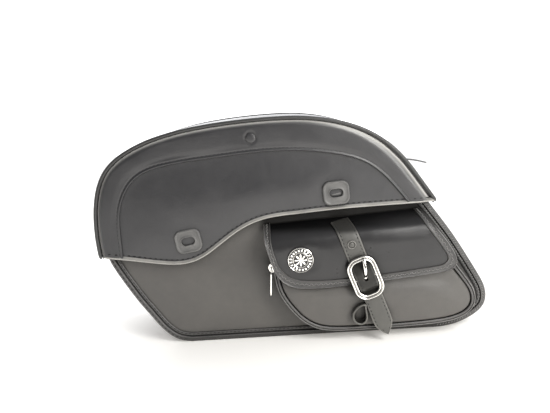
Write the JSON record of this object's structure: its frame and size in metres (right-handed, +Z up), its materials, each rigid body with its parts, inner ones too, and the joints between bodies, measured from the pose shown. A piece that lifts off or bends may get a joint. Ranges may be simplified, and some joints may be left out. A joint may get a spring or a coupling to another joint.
{
  "type": "motorcycle saddlebag",
  "caption": "Slanted black leather saddlebag with a hinged arched lid, turn locks and a zipped, buckled outer pocket.",
  "frame": {"origin": "on the flat underside, at the middle of the overall length", "axes": "+X along the bag towards its raked rear end, +Y towards the motorcycle, +Z up"},
  "size_m": [0.5172, 0.2241, 0.2993],
  "materials": {
    "leather": "semi-gloss smooth black leather",
    "stiffener": "matte black board",
    "zip_tape": "woven tape",
    "lining": "brushed lining",
    "chrome": "polished",
    "black_plastic": "satin moulded",
    "steel": "zinc plated"
  },
  "bodies": {
    "bag": {"gusset": "leather", "base_board": "stiffener", "front_panel": "leather", "front_board": "stiffener", "rear_panel": "leather", "rear_board": "stiffener", "rear_binding": "leather", "front_binding": "leather", "mounting_plate": "steel", "mounting_grommets": "steel", "rim_binding": "lining", "hinge_leather_lower": "leather", "tie_strap": "leather", "tie_rivet": "steel", "lock_keepers": "steel", "pocket_gusset": "leather", "zip_strip_front": "leather", "zip_strip_rear": "leather", "zip_tape": "zip_tape", "zip_teeth": "chrome", "pocket_front_panel": "leather", "pocket_piping": "leather", "pocket_shoulder": "leather", "shoulder_binding": "leather", "strap_root": "leather", "pocket_snap_stud": "steel"},
    "lid": {"lid_panel": "leather", "lid_board": "stiffener", "lid_border_band": "leather", "lid_skirt_trim": "leather", "lid_gusset": "leather", "lid_rear_panel": "leather", "lid_front_piping": "leather", "lid_rear_piping": "leather", "lid_stud": "leather", "lock_plates": "black_plastic", "lock_housings": "steel", "hinge_leather_upper": "leather"},
    "lock_left": {"lock_rotor_left": "black_plastic", "lock_cam_left": "steel", "lock_screw_left": "steel"},
    "lock_right": {"lock_rotor_right": "black_plastic", "lock_cam_right": "steel", "lock_screw_right": "steel"},
    "flap": {"flap_panel": "leather", "flap_binding": "leather", "flap_concho": "chrome", "flap_strap": "leather", "strap_rivet": "leather", "buckle_frame": "chrome", "buckle_chape": "leather", "chape_snap_socket": "steel", "keeper_loop": "leather"},
    "prong": {"buckle_prong": "chrome"},
    "slider": {"zip_slider": "chrome"},
    "pull": {"zip_pull": "chrome"}
  },
  "joints": [
    {"name": "lid_hinge", "type": "hinge", "parent": "bag", "child": "lid", "pos_m": [-0.0465, 0.0811, 0.236], "axis": [-1, 0, 0], "range_deg": [0, 100]},
    {"name": "lock_left_turn", "type": "hinge", "parent": "lid", "child": "lock_left", "pos_m": [-0.138, -0.086, 0.1452], "axis": [0, -1, 0], "range_deg": [0, 90]},
    {"name": "lock_right_turn", "type": "hinge", "parent": "lid", "child": "lock_right", "pos_m": [0.0578, -0.086, 0.1976], "axis": [0, -1, 0], "range_deg": [0, 90]},
    {"name": "flap_fold", "type": "hinge", "parent": "bag", "child": "flap", "pos_m": [0.07, -0.1096, 0.146], "axis": [-0.9988, 0, -0.0499], "range_deg": [0, 120]},
    {"name": "prong_hinge", "type": "hinge", "parent": "flap", "child": "prong", "pos_m": [0.0885, -0.1176, 0.09], "axis": [0.9438, 0, 0.3305], "range_deg": [0, 60]},
    {"name": "zip_travel", "type": "slide", "parent": "bag", "child": "slider", "axis": [-0.1332, 0, 0.9911], "range_m": [0, 0.014]},
    {"name": "zip_pull_swing", "type": "hinge", "parent": "slider", "child": "pull", "pos_m": [-0.03168, -0.094, 0.10301], "axis": [0, 1, 0], "range_deg": [0, 100]}
  ]
}
